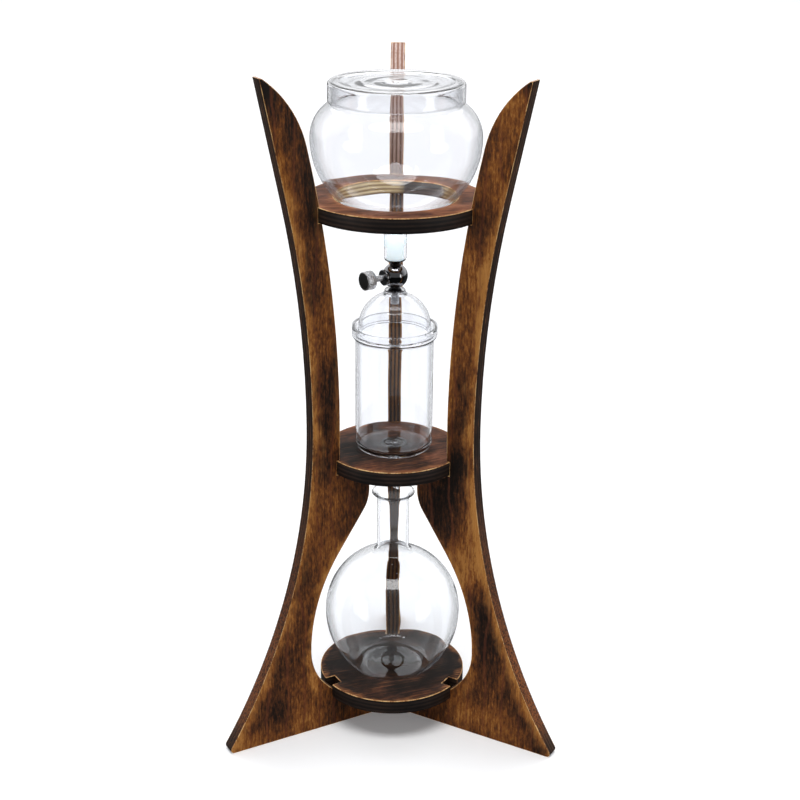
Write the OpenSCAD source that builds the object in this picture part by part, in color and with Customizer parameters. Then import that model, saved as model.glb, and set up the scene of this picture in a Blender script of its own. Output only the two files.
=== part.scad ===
// Cold drip coffee tower: three plywood boards carry a ring and two discs. A glass globe with a
// needle valve drips into a glass cup, which drains into a flask.
// Millimetres, +Z up. The origin lies on the floor, on the tower's axis.

/* [Boards] */
// Height of the boards above the floor
tower_h = 530; // [510:5:550]
// Thickness of the boards
board_t = 11.2; // [9:0.1:13]
// Distance from the axis to the outer edge at the waist
waist_r = 73.5; // [71:0.5:80]
// Height of the waist
waist_z = 262; // [250:1:275]
// Radius of the outer edge below the waist
outer_low_r = 480; // [460:5:520]
// Radius of the outer edge above the waist
outer_high_r = 850; // [820:10:950]
// Height above the waist where the outer edge turns straight
horn_straight_h = 178; // [160:2:190]
// Rounding of the foot's tip
foot_round = 3; // [2:0.5:8]
// Width of the board at its waist
waist_w = 23.3; // [21:0.1:28]
// Radius of the inner edge between the horn and the middle disc
inner_r = 950; // [850:10:1100]
// Radius of the inner edge of the horn
horn_r = 85; // [75:1:95]
// Width of the horn's tip
tip_w = 2.2; // [1.5:0.1:5]

/* [Flask bay] */
// Distance from the axis to the bay's deepest point
bay_depth_r = 76.8; // [74:0.2:82]
// Height of the bay's deepest point above the bottom disc
bay_mid_h = 34.4; // [32:0.2:38]
// Radius of the bay above its deepest point
bay_high_r = 148; // [140:1:155]
// Lean of the bay's straight stretch from the vertical
bay_lean = 34; // [32:0.5:36]
// Radius of the bay below its deepest point
bay_low_r = 48; // [44:1:50]
// Lean of the board's edge where it dips under the bottom disc
bay_foot_lean = 45; // [42:1:48]
// Distance from the axis to the shelf under the middle disc
shelf_r = 24.5; // [23:0.5:28]
// Radius between the shelf and the bay's straight stretch
shelf_round = 31; // [26:1:34]

/* [Discs] */
// Thickness of the ring and the discs
disc_t = 11.5; // [9:0.1:13]
// Outer radius of the top ring
ring_r = 66.9; // [66:0.1:69]
// Radius of the hole in the top ring
ring_hole_r = 46.5; // [44:0.5:49]
// Height of the top ring's upper face
ring_top = 434.5; // [430:0.5:440]
// Radius of the middle disc
middle_r = 52.9; // [52:0.1:55]
// Height of the middle disc's upper face
middle_top = 233.4; // [230:0.2:236]
// Radius of the outlet hole in the middle disc
outlet_hole_r = 6.5; // [6:0.1:8]
// Radius of the bottom disc
bottom_r = 59; // [56:0.5:61]
// Height of the bottom disc's upper face
bottom_top = 37.6; // [34:0.2:40]

/* [Water globe] */
// Radius of the globe's lower bowl and belly
globe_r = 63.5; // [62:0.5:65]
// Radius of the globe's shoulder
shoulder_r = 29.5; // [27:0.5:34]
// Wall of the globe
globe_wall = 2; // [1.6:0.1:3]
// Height of the globe's rim above its belly
globe_rim_h = 39.5; // [38:0.5:43]
// Fillet between the bowl and the outlet tube
tube_fillet = 6; // [4:0.5:9]
// Fillet between the shoulder and the neck
mouth_fillet = 2.5; // [2:0.5:4]

/* [Lid] */
// Outer radius of the lid
lid_r = 50.4; // [48:0.1:51]
// Wall of the lid
lid_wall = 2; // [1.6:0.1:2.6]
// Rounding of the lid's upper edge
lid_round = 3; // [2.6:0.1:4]
// Radius of the lid's sunken panel
panel_r = 41; // [36:1:42]
// Depth of the lid's sunken panel
panel_dip = 1.4; // [0.6:0.1:2]
// Width of the slope round the panel
panel_slope = 2.5; // [1.5:0.1:3]
// Radius of the glass button in the middle of the lid
button_r = 11; // [8:0.5:14]
// Height of the glass button above the panel
button_h = 1.8; // [1:0.1:2.4]

/* [Valve] */
// Height of the valve ball's centre
valve_z = 373; // [372.8:0.1:375]
// Radius of the valve ball
ball_r = 9.6; // [9.2:0.05:10]
// Radius of the water passage
passage_r = 1.25; // [1:0.05:1.4]
// Direction of the spindle, seen from above
spindle_turn = 215; // [200:1:230]
// Rim radius of the flange above the ball
inlet_flare_r = 7.9; // [7.6:0.1:9]
// Height of the flare under that flange
inlet_flare_h = 2.8; // [2:0.1:3.4]
// Rim radius of the flange under the ball
nozzle_flare_r = 8; // [7.6:0.1:9]
// Height of the flare above that flange
nozzle_flare_h = 1.5; // [1.2:0.1:2]
// Thickness of the two flanges' rims
flange_rim_t = 0.8; // [0.6:0.1:1]
// Radius of the silicone stopper
stopper_r = 6.6; // [6:0.1:7.2]
// Length of the stopper inside the outlet tube
stopper_h = 17; // [14:0.5:20]
// Radius of the spigot inside the stopper
spigot_r = 2.8; // [2.4:0.1:3.2]
// Radius of the drip tube
drip_r = 3.2; // [2.8:0.1:3.6]
// Length of the drip tube under the nozzle's cone
drip_h = 8.2; // [6:0.1:10]
// Radius of the spindle
stem_r = 1.95; // [1.7:0.05:2.2]
// Radius of the bonnet's flange
bonnet_r = 6.2; // [5.6:0.1:6.8]
// Radius of the knob
knob_r = 7.1; // [6:0.1:7.5]
// Length of the knob
knob_len = 7.8; // [5.5:0.1:8]
// Gap between the bonnet and the closed knob
knob_gap = 9.6; // [7:0.1:11]
// Number of grooves around the knob
knob_grooves = 30; // [20:1:36]

/* [Dome cover] */
// Outer radius of the dome
dome_r = 28; // [27:0.1:28.4]
// Wall of the dome
dome_wall = 1.6; // [1.2:0.1:2]
// Radius of the drip hole in the top of the dome
dome_hole_r = 7.2; // [6:0.1:8]
// Height of the dome's straight skirt
dome_skirt_h = 4.2; // [3:0.1:4.6]
// Thickness of the seating flange
dome_flange_t = 1.6; // [1.2:0.1:2]
// Height of the bead round the drip hole
dome_bead_h = 1; // [0.6:0.1:1.2]

/* [Coffee cup] */
// Outer radius of the cup
cup_r = 30.1; // [29.8:0.1:31]
// Wall of the cup
cup_wall = 1.8; // [1.4:0.1:2]
// Height of the cup above the middle disc
cup_h = 100.4; // [98:0.2:101]
// Reach of the cup's lip beyond its side
lip_step = 2.7; // [2.5:0.1:3.2]
// Height of the lip's straight band
lip_h = 6.4; // [5:0.2:8]
// Radius of the two bends under the lip
lip_bend = 3.8; // [3.5:0.1:4.4]
// Rounding of the cup's bottom edge
cup_round = 6; // [4:0.5:8]
// Thickness of the cup's floor
cup_floor_t = 4; // [3.6:0.1:5]
// Radius of the filter disc's recess in the floor
filter_r = 10; // [9:0.1:11]
// Thickness of the filter disc
filter_t = 2; // [1.6:0.1:2.4]
// Radius of a filter hole
filter_hole_r = 0.55; // [0.4:0.05:0.6]
// Outer radius of the outlet tube
outlet_r = 4.7; // [4.4:0.1:5.2]
// Bore radius of the outlet tube
outlet_bore_r = 3.1; // [2.9:0.1:3.4]
// Slant of the outlet tube's tip
outlet_slant = 35; // [25:1:45]

/* [Flask] */
// Radius of the flask's body
flask_r = 54.4; // [53:0.2:55]
// Height of the flask's widest point above its base
belly_h = 52.4; // [51:0.2:54]
// Radius of the body's side below its widest point
side_r = 67; // [65:0.5:70]
// Radius of the edge round the base
base_round = 20; // [18:0.5:22]
// Wall of the flask
flask_wall = 1.8; // [1.4:0.1:2.2]
// Outer radius of the neck
neck_r = 12.9; // [12.5:0.1:13.4]
// Fillet between the body and the neck
neck_fillet = 7; // [5:0.5:9]
// Radius of the flared lip's bend
flask_lip_bend = 6.2; // [5:0.1:6.4]
// Turn of the flared lip
flask_lip_turn = 72; // [60:1:75]
// Height of the flask's rim above its base
flask_h = 158; // [156:0.2:158.4]

/* [Fits] */
// Gap between a board and the slot or notch that holds it
wood_gap = 0.2; // [0.1:0.05:0.4]
// Gap between glass pieces that lift apart
glass_gap = 0.3; // [0.2:0.05:0.4]
// Radial gap round the globe's mouth, inside the lid's skirt
lid_gap = 0.7; // [0.5:0.1:1]
// Running clearance of the spindle
run_gap = 0.05; // [0.03:0.01:0.08]
// Gap between the outlet tube's tip and the flask's rim
tip_gap = 1.4; // [1:0.1:2]

/* [Hidden] */
$fn = 96;
wood = "#7d4f22";
burnt_wood = "#33221a";
clear_glass = [0.86, 0.92, 0.95, 0.35];
dark_chrome = "#4b4b4f";
steel = "#b4b4b8";
silicone = [0.86, 0.95, 0.96, 0.8];
rubber = "#1c1c1e";

// Points of an arc round (x, z) from angle a to angle b, about step degrees apart
function arc(x, z, r, a, b, step = 6) =
    let (n = max(2, ceil(abs(b - a) / step)))
    [for (i = [0 : n]) [x + r * cos(a + (b - a) * i / n), z + r * sin(a + (b - a) * i / n)]];
function flip(points) = [for (i = [len(points) - 1 : -1 : 0]) points[i]];
function heading(from, to) = atan2(to[1] - from[1], to[0] - from[0]);

// ---- Boards: places of the discs, and centres of the arcs that make a board's outline ----
left_turn = 210;
right_turn = -30;
back_turn = 90;
board_share = 120;
ring_low = ring_top - disc_t;
middle_low = middle_top - disc_t;
bottom_low = bottom_top - disc_t;

low_mid = [waist_r + outer_low_r, waist_z];
foot_turn = asin((waist_z - foot_round) / (outer_low_r + foot_round));
foot_mid = [low_mid[0] - (outer_low_r + foot_round) * cos(foot_turn), foot_round];
high_mid = [waist_r + outer_high_r, waist_z];
high_turn = asin(horn_straight_h / outer_high_r);
tip_r = high_mid[0] - outer_high_r * cos(high_turn)
    + (tower_h - waist_z - horn_straight_h) * tan(high_turn);

// The horn's inner arc touches the long inner arc and ends at the tip
inner_mid = [waist_r - waist_w + inner_r, waist_z];
horn_end = [tip_r - tip_w, tower_h];
end_away = norm(horn_end - inner_mid);
end_heading = heading(inner_mid, horn_end);
horn_away = inner_r - horn_r;
horn_spread = acos((pow(horn_away, 2) + pow(end_away, 2) - pow(horn_r, 2)) / (2 * horn_away * end_away));
horn_heading = end_heading + horn_spread;
horn_mid = inner_mid + horn_away * [cos(horn_heading), sin(horn_heading)];
inner_end = 180 + asin((waist_z - middle_top) / inner_r);

bay_z = bottom_top + bay_mid_h;
bay_high_mid = [bay_depth_r - bay_high_r, bay_z];
bay_low_mid = [bay_depth_r - bay_low_r, bay_z];
lean_low = bay_high_mid + bay_high_r * [cos(bay_lean), sin(bay_lean)];
lean_high_x = shelf_r + shelf_round * (1 - cos(bay_lean));
lean_high_z = lean_low[1] + (lean_low[0] - lean_high_x) / tan(bay_lean);
shelf_mid = [shelf_r + shelf_round, lean_high_z + shelf_round * sin(bay_lean)];
bay_foot = bay_low_mid + bay_low_r * [cos(bay_foot_lean), -sin(bay_foot_lean)];
ledge_r = bay_foot[0] - (bay_foot[1] - bottom_low) * tan(bay_foot_lean);

// ---- Globe and lid: heights are counted from the globe's belly ----
globe_z = ring_top + sqrt(pow(globe_r + glass_gap, 2) - pow(ring_hole_r, 2));
tube_r = stopper_r + globe_wall;
tube_mid = [tube_r + tube_fillet,
            -sqrt(pow(globe_r + tube_fillet, 2) - pow(tube_r + tube_fillet, 2))];
tube_turn = heading([0, 0], tube_mid);
mouth_r = lid_r - lid_wall - lid_gap;
shoulder_mid = [globe_r - shoulder_r, 0];
mouth_mid = [mouth_r + mouth_fillet,
             sqrt(pow(shoulder_r + mouth_fillet, 2)
                  - pow(mouth_r + mouth_fillet - shoulder_mid[0], 2))];
mouth_turn = heading(shoulder_mid, mouth_mid);
// The skirt ends just above the shoulder
skirt_z = sqrt(pow(shoulder_r + glass_gap, 2) - pow(lid_r - lid_wall - shoulder_mid[0], 2)) + glass_gap;
lid_top = globe_rim_h + lid_wall;
button_ball_r = (pow(button_r, 2) + pow(button_h, 2)) / (2 * button_h);
// The bend under the lid starts outside the globe's rim
lid_bend = 0.9 * lid_gap;

// ---- Valve: heights are counted from the ball's centre, reaches along the spindle too ----
flat_h = ball_r - 1.6;
washer_t = 0.8;
washer_r = 4;
tail_r = 3;
tail_h = 2.4;
inlet_neck_h = 1;
nozzle_neck_h = 0.4;
nozzle_cone_h = 2.6;
spigot_short = 3;
barb_step = 0.3;
inlet_top = flat_h + washer_t + inlet_neck_h + inlet_flare_h + flange_rim_t;
nozzle_rim = flat_h + washer_t + nozzle_neck_h + nozzle_flare_h;
nozzle_low = nozzle_rim + flange_rim_t + nozzle_cone_h;
drip_low = nozzle_low + drip_h;
tube_low = valve_z + inlet_top + glass_gap - globe_z;
stem_bore_r = stem_r + run_gap;
socket_r = 3.6;
socket_x = 4.4;
boss_r = socket_r + 0.8;
boss_x = flat_h + 1;
seal_t = socket_r - stem_bore_r;
bonnet_t = 2.2;
bonnet_slope = 0.8;
knob_back = boss_x + bonnet_t + knob_gap;
knob_front = knob_back + knob_len;
knob_chamfer = 0.5;
cap_t = 1;
cap_r = knob_r - 1;
groove_r = 0.35;
needle_x = passage_r + 0.15;
nose_len = 1;
nose_r = 0.7;
stem_x = 3;
shank_r = 1;
shank_len = 2.4;
screw_r = 1;
screw_sink = 0.6;
hex_r = 0.5;

// ---- Cup and dome: heights are counted from the cup's base ----
lip_r = cup_r + lip_step;
lip_turn = acos(1 - lip_step / (2 * lip_bend));
lip_high_mid = [lip_r - lip_bend, cup_h - lip_h];
lip_low_mid = [cup_r + lip_bend, lip_high_mid[1] - 2 * lip_bend * sin(lip_turn)];
dome_flange_r = lip_r - cup_wall - 2 * glass_gap;
dome_seat = lip_high_mid[1] + 1.5 * glass_gap
    - sqrt(pow(lip_bend - cup_wall, 2) - pow(dome_flange_r - lip_high_mid[0], 2));
dome_z = middle_top + dome_seat + dome_flange_t + dome_skirt_h;
dome_bead_r = dome_hole_r + dome_wall;
bead_foot_z = sqrt(pow(dome_r, 2) - pow(dome_bead_r, 2));
bead_top_z = sqrt(pow(dome_r, 2) - pow(dome_hole_r, 2)) + dome_bead_h;
outlet_len = middle_top - bottom_top - flask_h - tip_gap;
filter_gap = 0.1;
filter_rings = [[0, 1], [3.4, 6], [6.8, 12]];

// ---- Flask: heights are counted from its base ----
side_mid = [flask_r - side_r, belly_h];
base_mid = [side_mid[0] + sqrt(pow(side_r - base_round, 2) - pow(belly_h - base_round, 2)), base_round];
base_turn = heading(side_mid, base_mid);
neck_mid = [neck_r + neck_fillet,
            belly_h + sqrt(pow(flask_r + neck_fillet, 2) - pow(neck_r + neck_fillet, 2))];
neck_turn = heading([0, belly_h], neck_mid);
flask_lip_mid = [neck_r + flask_lip_bend,
                 flask_h - (flask_lip_bend + flask_wall) * sin(flask_lip_turn)];

// ---- Boards ----

// Outline of a board: x is the distance from the axis, y the height
module board_outline() {
    difference() {
        polygon(concat(
            [[0, bottom_low], [0, 0]],
            arc(foot_mid[0], foot_mid[1], foot_round, -90, foot_turn, 15),
            arc(low_mid[0], low_mid[1], outer_low_r, 180 + foot_turn, 180, 1.5),
            arc(high_mid[0], high_mid[1], outer_high_r, 180, 180 - high_turn, 1.5),
            [[tip_r, tower_h]],
            arc(horn_mid[0], horn_mid[1], horn_r, heading(horn_mid, horn_end), horn_heading, 4),
            arc(inner_mid[0], inner_mid[1], inner_r, horn_heading, inner_end, 1),
            [[middle_r + wood_gap, middle_top], [middle_r + wood_gap, middle_low], [shelf_r, middle_low]],
            arc(shelf_mid[0], shelf_mid[1], shelf_round, 180, 180 + bay_lean),
            arc(bay_high_mid[0], bay_high_mid[1], bay_high_r, bay_lean, 0, 3),
            arc(bay_low_mid[0], bay_low_mid[1], bay_low_r, 0, -bay_foot_lean),
            [[ledge_r, bottom_low]]
        ));
        // Slot that holds the top ring
        translate([0, ring_low]) square([ring_r + wood_gap, disc_t + wood_gap]);
    }
}

// A board whose inner end is mitred, so that three of them meet on the axis
module leg(turn) {
    color(wood) rotate([0, 0, turn]) intersection() {
        rotate([90, 0, 0]) linear_extrude(board_t, center = true) board_outline();
        linear_extrude(tower_h)
            polygon(tower_h * [[0, 0], [1, -tan(board_share / 2)], [1, tan(board_share / 2)]]);
    }
}
module leg_left() leg(left_turn);
module leg_right() leg(right_turn);
module leg_back() leg(back_turn);

// ---- Ring and discs ----

module top_ring() {
    color(burnt_wood) translate([0, 0, ring_low]) difference() {
        cylinder(h = disc_t, r = ring_r);
        translate([0, 0, -1]) cylinder(h = disc_t + 2, r = ring_hole_r);
    }
}
module middle_disc() {
    color(burnt_wood) translate([0, 0, middle_low]) difference() {
        cylinder(h = disc_t, r = middle_r);
        translate([0, 0, -1]) cylinder(h = disc_t + 2, r = outlet_hole_r);
    }
}
// The bottom disc is notched where the boards rise past its edge
module bottom_disc() {
    notch_r = ledge_r - wood_gap;
    notch_w = board_t + 2 * wood_gap;
    color(burnt_wood) translate([0, 0, bottom_low]) difference() {
        cylinder(h = disc_t, r = bottom_r);
        for (turn = [left_turn, right_turn, back_turn])
            rotate([0, 0, turn]) translate([notch_r, -notch_w / 2, -1])
                cube([bottom_r, notch_w, disc_t + 2]);
    }
}

// ---- Water globe and lid ----

// One side of the globe's wall, set in by w from the outside
function globe_side(w) = concat(
    [[tube_r - w, tube_low]],
    arc(tube_mid[0], tube_mid[1], tube_fillet + w, 180, tube_turn + 180, 12),
    arc(0, 0, globe_r - w, tube_turn, 0),
    arc(shoulder_mid[0], 0, shoulder_r - w, 0, mouth_turn),
    arc(mouth_mid[0], mouth_mid[1], mouth_fillet + w, mouth_turn + 180, 180, 15),
    [[mouth_r - w, globe_rim_h]]
);
module water_globe() {
    color(clear_glass) translate([0, 0, globe_z])
        rotate_extrude() polygon(concat(globe_side(0), flip(globe_side(globe_wall))));
}
// The lid's sunken panel hangs inside the globe's mouth
module globe_lid() {
    panel_z = lid_top - panel_dip;
    button_mid_z = panel_z + button_h - button_ball_r;
    color(clear_glass) translate([0, 0, globe_z]) rotate_extrude() polygon(concat(
        [[lid_r - lid_wall, skirt_z], [lid_r, skirt_z]],
        arc(lid_r - lid_round, lid_top - lid_round, lid_round, 0, 90, 15),
        [[panel_r + panel_slope, lid_top], [panel_r, panel_z]],
        arc(0, button_mid_z, button_ball_r, heading([0, button_mid_z], [button_r, panel_z]), 90, 5),
        [[0, panel_z - lid_wall], [panel_r, panel_z - lid_wall], [panel_r + panel_slope, globe_rim_h]],
        arc(lid_r - lid_wall - lid_bend, globe_rim_h - lid_bend, lid_bend, 90, 0, 30)
    ));
}
module outlet_stopper() {
    color(silicone) translate([0, 0, valve_z + inlet_top]) difference() {
        cylinder(h = stopper_h, r = stopper_r);
        translate([0, 0, -1]) cylinder(h = stopper_h + 2, r = spigot_r);
    }
}

// ---- Valve ----

module at_valve() translate([0, 0, valve_z]) rotate([0, 0, spindle_turn]) children();
// Turns what is built along +Z so that it lies along the spindle
module along_spindle() at_valve() rotate([0, 90, 0]) children();

module valve_body() {
    color(dark_chrome) at_valve() difference() {
        union() {
            intersection() {
                sphere(r = ball_r);
                cylinder(h = 2 * flat_h, r = ball_r + 1, center = true);
            }
            rotate([0, 90, 0]) translate([0, 0, socket_x]) cylinder(h = boss_x - socket_x, r = boss_r);
        }
        cylinder(h = 3 * ball_r, r = passage_r, center = true);
        for (side = [-1, 1]) translate([0, 0, side * flat_h])
            cylinder(h = 2 * tail_h, r = tail_r, center = true);
        // Seat of the needle, bore of the spindle and socket of the bonnet
        rotate([0, 90, 0]) rotate_extrude() polygon([
            [0, -needle_x - nose_len - run_gap], [nose_r, -needle_x - nose_len - run_gap],
            [stem_bore_r, -needle_x], [stem_bore_r, socket_x], [socket_r, socket_x],
            [socket_r, 2 * boss_x], [0, 2 * boss_x]
        ]);
    }
}
module washer(z) color(rubber) translate([0, 0, valve_z + z]) difference() {
    cylinder(h = washer_t, r = washer_r);
    translate([0, 0, -1]) cylinder(h = washer_t + 2, r = tail_r);
}
module inlet_washer() washer(flat_h);
module nozzle_washer() washer(-flat_h - washer_t);

// Turned collar: tail, neck, flange, and the spigot that the stopper grips
module inlet_collar() {
    neck_low = flat_h + washer_t;
    flare_low = neck_low + inlet_neck_h;
    spigot_top = inlet_top + stopper_h - spigot_short;
    color(dark_chrome) translate([0, 0, valve_z]) difference() {
        rotate_extrude() polygon([
            [0, flat_h - tail_h], [tail_r, flat_h - tail_h], [tail_r, neck_low], [washer_r, neck_low],
            [washer_r, flare_low], [inlet_flare_r, flare_low + inlet_flare_h],
            [inlet_flare_r, inlet_top], [spigot_r, inlet_top], [spigot_r, spigot_top - 1],
            [spigot_r - barb_step, spigot_top], [0, spigot_top]
        ]);
        cylinder(h = 3 * spigot_top, r = passage_r, center = true);
    }
}
// Turned nozzle: tail, neck, flange, cone and drip tube
module drip_nozzle() {
    neck_low = flat_h + washer_t;
    color(dark_chrome) translate([0, 0, valve_z]) mirror([0, 0, 1]) difference() {
        rotate_extrude() polygon([
            [0, flat_h - tail_h], [tail_r, flat_h - tail_h], [tail_r, neck_low], [washer_r, neck_low],
            [washer_r, neck_low + nozzle_neck_h], [nozzle_flare_r, nozzle_rim],
            [nozzle_flare_r, nozzle_rim + flange_rim_t], [washer_r, nozzle_low],
            [drip_r, nozzle_low], [drip_r, drip_low], [0, drip_low]
        ]);
        cylinder(h = 3 * drip_low, r = passage_r, center = true);
    }
}
module valve_bonnet() {
    color(dark_chrome) along_spindle() rotate_extrude() polygon([
        [stem_bore_r, socket_x + seal_t], [socket_r, socket_x + seal_t], [socket_r, boss_x],
        [boss_r, boss_x], [bonnet_r, boss_x + bonnet_slope], [bonnet_r, boss_x + bonnet_t - knob_chamfer],
        [bonnet_r - knob_chamfer, boss_x + bonnet_t], [stem_bore_r, boss_x + bonnet_t]
    ]);
}
module stem_seal() {
    color(rubber) along_spindle() translate([0, 0, socket_x + seal_t / 2])
        rotate_extrude() translate([stem_bore_r + seal_t / 2, 0]) circle(d = seal_t);
}
// The tip closes the passage; its shank turns freely in the end of the spindle
module needle_tip() {
    color(silicone) along_spindle() rotate_extrude() polygon([
        [0, -needle_x - nose_len], [nose_r, -needle_x - nose_len], [stem_r, -needle_x],
        [stem_r, stem_x], [shank_r - run_gap, stem_x], [shank_r - run_gap, stem_x + shank_len - run_gap],
        [0, stem_x + shank_len - run_gap]
    ]);
}
module valve_stem() {
    color(steel) along_spindle() difference() {
        translate([0, 0, stem_x]) cylinder(h = knob_front - cap_t - stem_x, r = stem_r);
        translate([0, 0, stem_x - 1]) cylinder(h = shank_len + 1, r = shank_r);
    }
}
module valve_knob() {
    color(steel) along_spindle() difference() {
        rotate_extrude() polygon([
            [stem_r, knob_back], [knob_r - knob_chamfer, knob_back], [knob_r, knob_back + knob_chamfer],
            [knob_r, knob_front - knob_chamfer], [knob_r - knob_chamfer, knob_front],
            [cap_r, knob_front], [cap_r, knob_front - cap_t], [stem_r, knob_front - cap_t]
        ]);
        for (i = [0 : knob_grooves - 1]) rotate([0, 0, (i + 0.5) * 360 / knob_grooves])
            translate([knob_r, 0, knob_back - 1]) cylinder(h = knob_len + 2, r = groove_r, $fn = 24);
        translate([0, 0, knob_back + knob_len / 2]) rotate([0, -90, 0])
            cylinder(h = knob_r + 1, r = screw_r);
    }
}
module knob_cap() {
    color(rubber) along_spindle() translate([0, 0, knob_front - cap_t]) cylinder(h = cap_t, r = cap_r);
}
// Socket screw that holds the knob on the spindle
module knob_screw() {
    screw_len = knob_r - screw_sink - stem_r;
    color(steel) along_spindle() translate([0, 0, knob_back + knob_len / 2]) rotate([0, -90, 0])
        translate([0, 0, stem_r]) difference() {
            cylinder(h = screw_len, r = screw_r);
            translate([0, 0, screw_len / 2]) cylinder(h = screw_len, r = hex_r, $fn = 6);
        }
}

// ---- Dome cover and coffee cup ----

module dome_cover() {
    inner_r = dome_r - dome_wall;
    foot_z = -dome_skirt_h - dome_flange_t;
    color(clear_glass) translate([0, 0, dome_z]) rotate_extrude() polygon(concat(
        [[inner_r, foot_z], [dome_flange_r, foot_z], [dome_flange_r, -dome_skirt_h]],
        [[dome_r, -dome_skirt_h]],
        arc(0, 0, dome_r, 0, heading([0, 0], [dome_bead_r, bead_foot_z])),
        [[dome_bead_r, bead_top_z], [dome_hole_r, bead_top_z]],
        flip(arc(0, 0, inner_r, 0, acos(dome_hole_r / inner_r)))
    ));
}
// One side of the cup's wall above its bottom edge, set in by w from the outside
function cup_side(w) = concat(
    arc(lip_low_mid[0], lip_low_mid[1], lip_bend + w, 180, 180 - lip_turn, 10),
    arc(lip_high_mid[0], lip_high_mid[1], lip_bend - w, -lip_turn, 0, 10),
    [[lip_r - w, cup_h]]
);
module coffee_cup() {
    floor_round = cup_round - cup_wall;
    tip_reach = outlet_r * tan(outlet_slant);
    color(clear_glass) translate([0, 0, middle_top]) difference() {
        rotate_extrude() polygon(concat(
            [[outlet_bore_r, -outlet_len], [outlet_r, -outlet_len], [outlet_r, 0]],
            arc(cup_r - cup_round, cup_round, cup_round, -90, 0, 15),
            cup_side(0),
            flip(cup_side(cup_wall)),
            arc(cup_r - cup_round, cup_floor_t + floor_round, floor_round, 0, -90, 15),
            [[filter_r, cup_floor_t], [filter_r, cup_floor_t - filter_t]],
            [[outlet_bore_r, cup_floor_t - filter_t]]
        ));
        // The outlet tube's tip is cut on a slant, lowest on its right
        translate([outlet_r, 0, -outlet_len]) rotate([0, outlet_slant, 0])
            translate([-4 * outlet_r, -outlet_r - 1, -4 * tip_reach])
                cube([4 * outlet_r + 1, 2 * outlet_r + 2, 4 * tip_reach]);
    }
}
module filter_disc() {
    color(clear_glass) translate([0, 0, middle_top + cup_floor_t - filter_t]) difference() {
        cylinder(h = filter_t, r = filter_r - filter_gap);
        for (ring = filter_rings, i = [0 : ring[1] - 1])
            rotate([0, 0, i * 360 / ring[1]]) translate([ring[0], 0, -1])
                cylinder(h = filter_t + 2, r = filter_hole_r, $fn = 24);
    }
}

// ---- Flask ----

// One side of the flask's wall, set in by w from the outside
function flask_side(w) = concat(
    [[0, w]],
    arc(base_mid[0], base_mid[1], base_round - w, -90, base_turn, 8),
    arc(side_mid[0], side_mid[1], side_r - w, base_turn, 0),
    arc(0, belly_h, flask_r - w, 0, neck_turn),
    arc(neck_mid[0], neck_mid[1], neck_fillet + w, neck_turn + 180, 180, 12),
    arc(flask_lip_mid[0], flask_lip_mid[1], flask_lip_bend + w, 180, 180 - flask_lip_turn, 12)
);
module flask() {
    color(clear_glass) translate([0, 0, bottom_top])
        rotate_extrude() polygon(concat(flask_side(0), flip(flask_side(flask_wall))));
}

leg_left();
leg_right();
leg_back();
top_ring();
middle_disc();
bottom_disc();
water_globe();
globe_lid();
outlet_stopper();
valve_body();
inlet_washer();
inlet_collar();
nozzle_washer();
drip_nozzle();
valve_bonnet();
stem_seal();
needle_tip();
valve_stem();
valve_knob();
knob_cap();
knob_screw();
dome_cover();
coffee_cup();
filter_disc();
flask();
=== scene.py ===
"""Looks of the cold drip coffee tower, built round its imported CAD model.

Blender's units are metres. Profiles are written in millimetres, as the glass and the boards are drawn.
"""
import math

import bmesh
import bpy
from mathutils import Matrix, Vector, noise


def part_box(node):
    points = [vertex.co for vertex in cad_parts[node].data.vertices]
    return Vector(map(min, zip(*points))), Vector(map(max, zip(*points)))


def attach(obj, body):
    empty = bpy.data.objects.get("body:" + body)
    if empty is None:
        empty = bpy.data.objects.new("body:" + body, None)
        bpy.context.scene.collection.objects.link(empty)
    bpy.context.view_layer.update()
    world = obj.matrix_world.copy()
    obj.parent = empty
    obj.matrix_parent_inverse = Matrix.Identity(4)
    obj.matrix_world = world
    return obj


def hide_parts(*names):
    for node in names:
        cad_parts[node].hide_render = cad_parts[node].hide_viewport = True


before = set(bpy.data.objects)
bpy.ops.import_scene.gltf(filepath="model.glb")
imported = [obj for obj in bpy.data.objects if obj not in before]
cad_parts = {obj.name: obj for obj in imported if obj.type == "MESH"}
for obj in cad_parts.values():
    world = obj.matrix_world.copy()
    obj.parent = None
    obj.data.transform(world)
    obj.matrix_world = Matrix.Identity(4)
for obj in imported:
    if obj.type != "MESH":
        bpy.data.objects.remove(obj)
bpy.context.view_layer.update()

MM = 0.001

# ---- Sizes that the looks share with the CAD, in millimetres ----
BOARD_TURNS = {"leg_left": 210, "leg_right": -30, "leg_back": 90}
RING_TOP = 434.5
MIDDLE_TOP = 233.4
BOTTOM_TOP = 37.6
DISC_THICK = 11.5
BOARD_THICK = 11.2
PLIES = 7
RING_R = 66.9
RING_HOLE_R = 46.5
MIDDLE_R = 52.9
BOTTOM_R = 59.0

GLOBE_R = 63.5
GLOBE_WALL = 2.0
GLOBE_RIM = 39.5
SHOULDER_R = 29.5
TUBE_R = 8.6
TUBE_FILLET = 6.0
MOUTH_R = 47.7
MOUTH_FILLET = 2.5
GLOBE_GAP = 0.3
GLOBE_Z = RING_TOP + math.sqrt((GLOBE_R + GLOBE_GAP) ** 2 - RING_HOLE_R**2)
TUBE_FOOT = 386.3
TUBE_LOW = TUBE_FOOT - GLOBE_Z

LID_R = 50.4
LID_WALL = 2.0
LID_TOP = GLOBE_RIM + LID_WALL
LID_ROUND = 3.0
PANEL_R = 41.0
LID_BEND = 0.63
PANEL_DIP = 1.4
PANEL_SLOPE = 2.5
BUTTON_R = 11.0
BUTTON_H = 1.8

DOME_R = 28.0
DOME_WALL = 1.6
DOME_HOLE = 7.2
DOME_SKIRT = 4.2
DOME_FLANGE_T = 1.6
DOME_BEAD = 1.0
DOME_GAP = 0.6

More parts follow.
